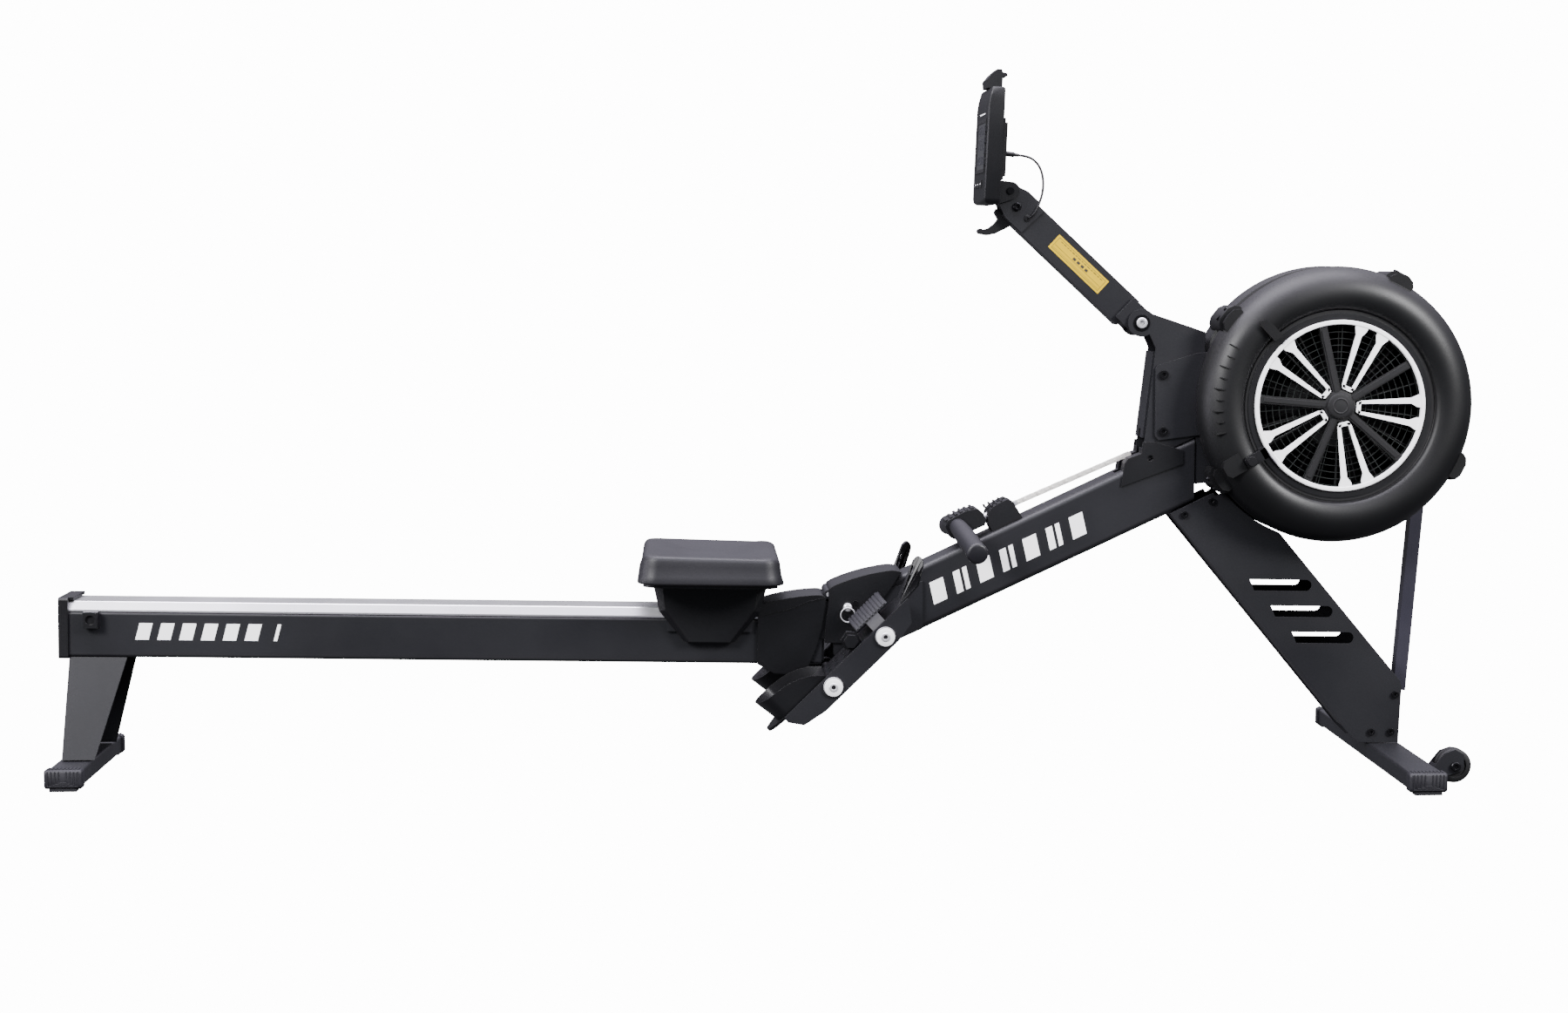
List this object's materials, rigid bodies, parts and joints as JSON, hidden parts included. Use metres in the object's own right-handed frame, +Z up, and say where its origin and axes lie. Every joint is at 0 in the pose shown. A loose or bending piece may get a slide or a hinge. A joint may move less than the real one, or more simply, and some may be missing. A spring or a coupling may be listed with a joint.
{
  "type": "rowing machine",
  "caption": "Air-resistance rowing machine with a sliding seat on a sloped rail, a chain-pulled handle, a caged fan wheel, footrests and a console on a hinged arm.",
  "frame": {"origin": "bottom centre of the bounding box, on the floor", "axes": "+X towards the flywheel end, -Y the side with the locking pin, +Z up"},
  "size_m": [2.3562, 0.63, 1.1683],
  "materials": {
    "frame_paint": "satin powder coat",
    "stay_paint": "satin powder coat",
    "track": "brushed",
    "moulded_plastic": "fine texture",
    "foot_rubber": "ribbed",
    "seat_foam": "moulded skin",
    "steel_sheet": "satin",
    "tyre": "matt",
    "roller_plastic": "smooth",
    "bright_steel": "brushed",
    "chain_steel": "nickel plated",
    "spoke_aluminium": "satin",
    "fan": "satin",
    "cord": "smooth",
    "strap": "ribbed",
    "lcd": "clear over dark",
    "button": "soft touch",
    "bolt": "plated"
  },
  "bodies": {
    "frame": {"main_beam": "frame_paint", "junction_cover": "moulded_plastic", "fold_pin": "bright_steel", "column": "frame_paint", "wheel_bracket": "frame_paint", "chain_guide": "moulded_plastic", "front_leg": "frame_paint", "front_stay": "stay_paint", "front_foot_bar": "frame_paint", "front_foot_caps": "foot_rubber", "housing_near": "moulded_plastic", "housing_far": "moulded_plastic", "rim_clips": "moulded_plastic", "spoke_ring": "spoke_aluminium", "spoke_cover": "moulded_plastic", "inlet_grilles": "moulded_plastic", "axle": "bright_steel", "shock_cord": "cord", "handle_cradle": "moulded_plastic", "chain": "chain_steel", "footrest_frame": "frame_paint", "foot_plates": "moulded_plastic", "foot_straps": "strap", "fasteners": "bolt"},
    "rail": {"rail_tube": "frame_paint", "rail_track": "track", "rail_end_cap": "moulded_plastic", "rail_stops": "moulded_plastic", "rear_leg": "frame_paint", "rear_foot_caps": "foot_rubber", "fold_block": "frame_paint", "rail_cover": "moulded_plastic"},
    "seat": {"seat_pad": "seat_foam", "seat_carriage": "steel_sheet", "carriage_cover": "moulded_plastic"},
    "front_roller_set": {"front_seat_rollers": "roller_plastic"},
    "rear_roller_set": {"rear_seat_rollers": "roller_plastic"},
    "pin": {"lock_pin": "bright_steel"},
    "ring": {"pin_ring": "bright_steel"},
    "idler": {"guide_roller": "roller_plastic"},
    "wheel_near": {"transport_wheel_near": "tyre"},
    "wheel_far": {"transport_wheel_far": "tyre"},
    "fan": {"fan_wheel": "fan"},
    "cog": {"sprocket": "bright_steel"},
    "damper": {"damper_lever": "moulded_plastic"},
    "pulley": {"return_pulley": "roller_plastic"},
    "handle": {"handle_bar": "bright_steel", "handle_grips": "foot_rubber", "handle_block": "moulded_plastic"},
    "heel_near": {"heel_cup_near": "moulded_plastic"},
    "heel_far": {"heel_cup_far": "moulded_plastic"},
    "arm": {"console_arm": "frame_paint", "console_cable": "cord"},
    "console": {"console_case": "moulded_plastic", "screen": "lcd"},
    "phone_clip": {"phone_holder": "moulded_plastic"},
    "side_button_1_cap": {"side_button_1": "button"},
    "side_button_2_cap": {"side_button_2": "button"},
    "side_button_3_cap": {"side_button_3": "button"},
    "side_button_4_cap": {"side_button_4": "button"}
  },
  "joints": [
    {"name": "rail_fold", "type": "hinge", "parent": "frame", "child": "rail", "pos_m": [0.104, 0, 0.297], "axis": [0, -1, 0], "range_deg": [-90, 0]},
    {"name": "lock_pin_pull", "type": "slide", "parent": "frame", "child": "pin", "axis": [0, -1, 0], "range_m": [0, 0.012], "stiffness_N_per_m": 400},
    {"name": "pin_ring_swing", "type": "hinge", "parent": "pin", "child": "ring", "pos_m": [0.1355, -0.058, 0.276], "axis": [0, 1, 0], "range_deg": [-60, 60]},
    {"name": "seat_slide", "type": "slide", "parent": "rail", "child": "seat", "axis": [0.9998, 0, -0.0195], "range_m": [-0.9, 0]},
    {"name": "front_rollers_spin", "type": "hinge", "parent": "seat", "child": "front_roller_set", "pos_m": [-0.03289, 0, 0.28886], "axis": [0, 1, 0], "continuous": true},
    {"name": "rear_rollers_spin", "type": "hinge", "parent": "seat", "child": "rear_roller_set", "pos_m": [-0.15686, 0, 0.29129], "axis": [0, 1, 0], "continuous": true},
    {"name": "handle_pull", "type": "slide", "parent": "frame", "child": "handle", "axis": [-0.9938, 0, 0.1115], "range_m": [0, 1], "deforming": ["chain"]},
    {"name": "sprocket_spin", "type": "hinge", "parent": "frame", "child": "cog", "pos_m": [0.9477, 0, 0.612], "axis": [0, 1, 0], "continuous": true},
    {"name": "idler_spin", "type": "hinge", "parent": "frame", "child": "idler", "pos_m": [0.645, 0, 0.522], "axis": [0, 1, 0], "continuous": true},
    {"name": "return_pulley_travel", "type": "slide", "parent": "frame", "child": "pulley", "axis": [0.9078, 0, 0.4195], "range_m": [0, 0.25]},
    {"name": "flywheel_spin", "type": "hinge", "parent": "frame", "child": "fan", "pos_m": [0.9477, -0.058, 0.612], "axis": [0, 1, 0], "continuous": true},
    {"name": "damper_turn", "type": "hinge", "parent": "frame", "child": "damper", "pos_m": [0.9477, -0.105, 0.612], "axis": [0, 1, 0], "range_deg": [0, 58]},
    {"name": "arm_fold", "type": "hinge", "parent": "frame", "child": "arm", "pos_m": [0.6289, 0, 0.7485], "axis": [0, 1, 0], "range_deg": [-8, 30]},
    {"name": "console_tilt", "type": "hinge", "parent": "arm", "child": "console", "pos_m": [0.4088, 0, 0.9686], "axis": [0, 1, 0], "range_deg": [-10, 10], "deforming": ["console_cable"]},
    {"name": "phone_clip_slide", "type": "slide", "parent": "console", "child": "phone_clip", "axis": [0.0471, 0, 0.9989], "range_m": [0, 0.03]},
    {"name": "near_heel_slide", "type": "slide", "parent": "frame", "child": "heel_near", "axis": [0.7193, 0, 0.6947], "range_m": [0, 0.05]},
    {"name": "far_heel_slide", "type": "slide", "parent": "frame", "child": "heel_far", "axis": [0.7193, 0, 0.6947], "range_m": [0, 0.05]},
    {"name": "near_wheel_spin", "type": "hinge", "parent": "frame", "child": "wheel_near", "pos_m": [1.112, -0.227, 0.0325], "axis": [0, 1, 0], "continuous": true},
    {"name": "far_wheel_spin", "type": "hinge", "parent": "frame", "child": "wheel_far", "pos_m": [1.112, 0.227, 0.0325], "axis": [0, 1, 0], "continuous": true},
    {"name": "side_button_1_press", "type": "slide", "parent": "console", "child": "side_button_1_cap", "axis": [0.9989, 0, -0.0471], "range_m": [0, 0.002], "stiffness_N_per_m": 300},
    {"name": "side_button_2_press", "type": "slide", "parent": "console", "child": "side_button_2_cap", "axis": [0.9989, 0, -0.0471], "range_m": [0, 0.002], "stiffness_N_per_m": 300},
    {"name": "side_button_3_press", "type": "slide", "parent": "console", "child": "side_button_3_cap", "axis": [0.9989, 0, -0.0471], "range_m": [0, 0.002], "stiffness_N_per_m": 300},
    {"name": "side_button_4_press", "type": "slide", "parent": "console", "child": "side_button_4_cap", "axis": [0.9989, 0, -0.0471], "range_m": [0, 0.002], "stiffness_N_per_m": 300}
  ],
  "couplings": [
    {"joint": "front_rollers_spin", "follows": "seat_slide", "rad_per_m": 66.667},
    {"joint": "rear_rollers_spin", "follows": "seat_slide", "rad_per_m": 66.667},
    {"joint": "sprocket_spin", "follows": "handle_pull", "rad_per_m": -28.571},
    {"joint": "idler_spin", "follows": "handle_pull", "rad_per_m": -105.26},
    {"joint": "return_pulley_travel", "follows": "handle_pull", "ratio": 0.25}
  ]
}
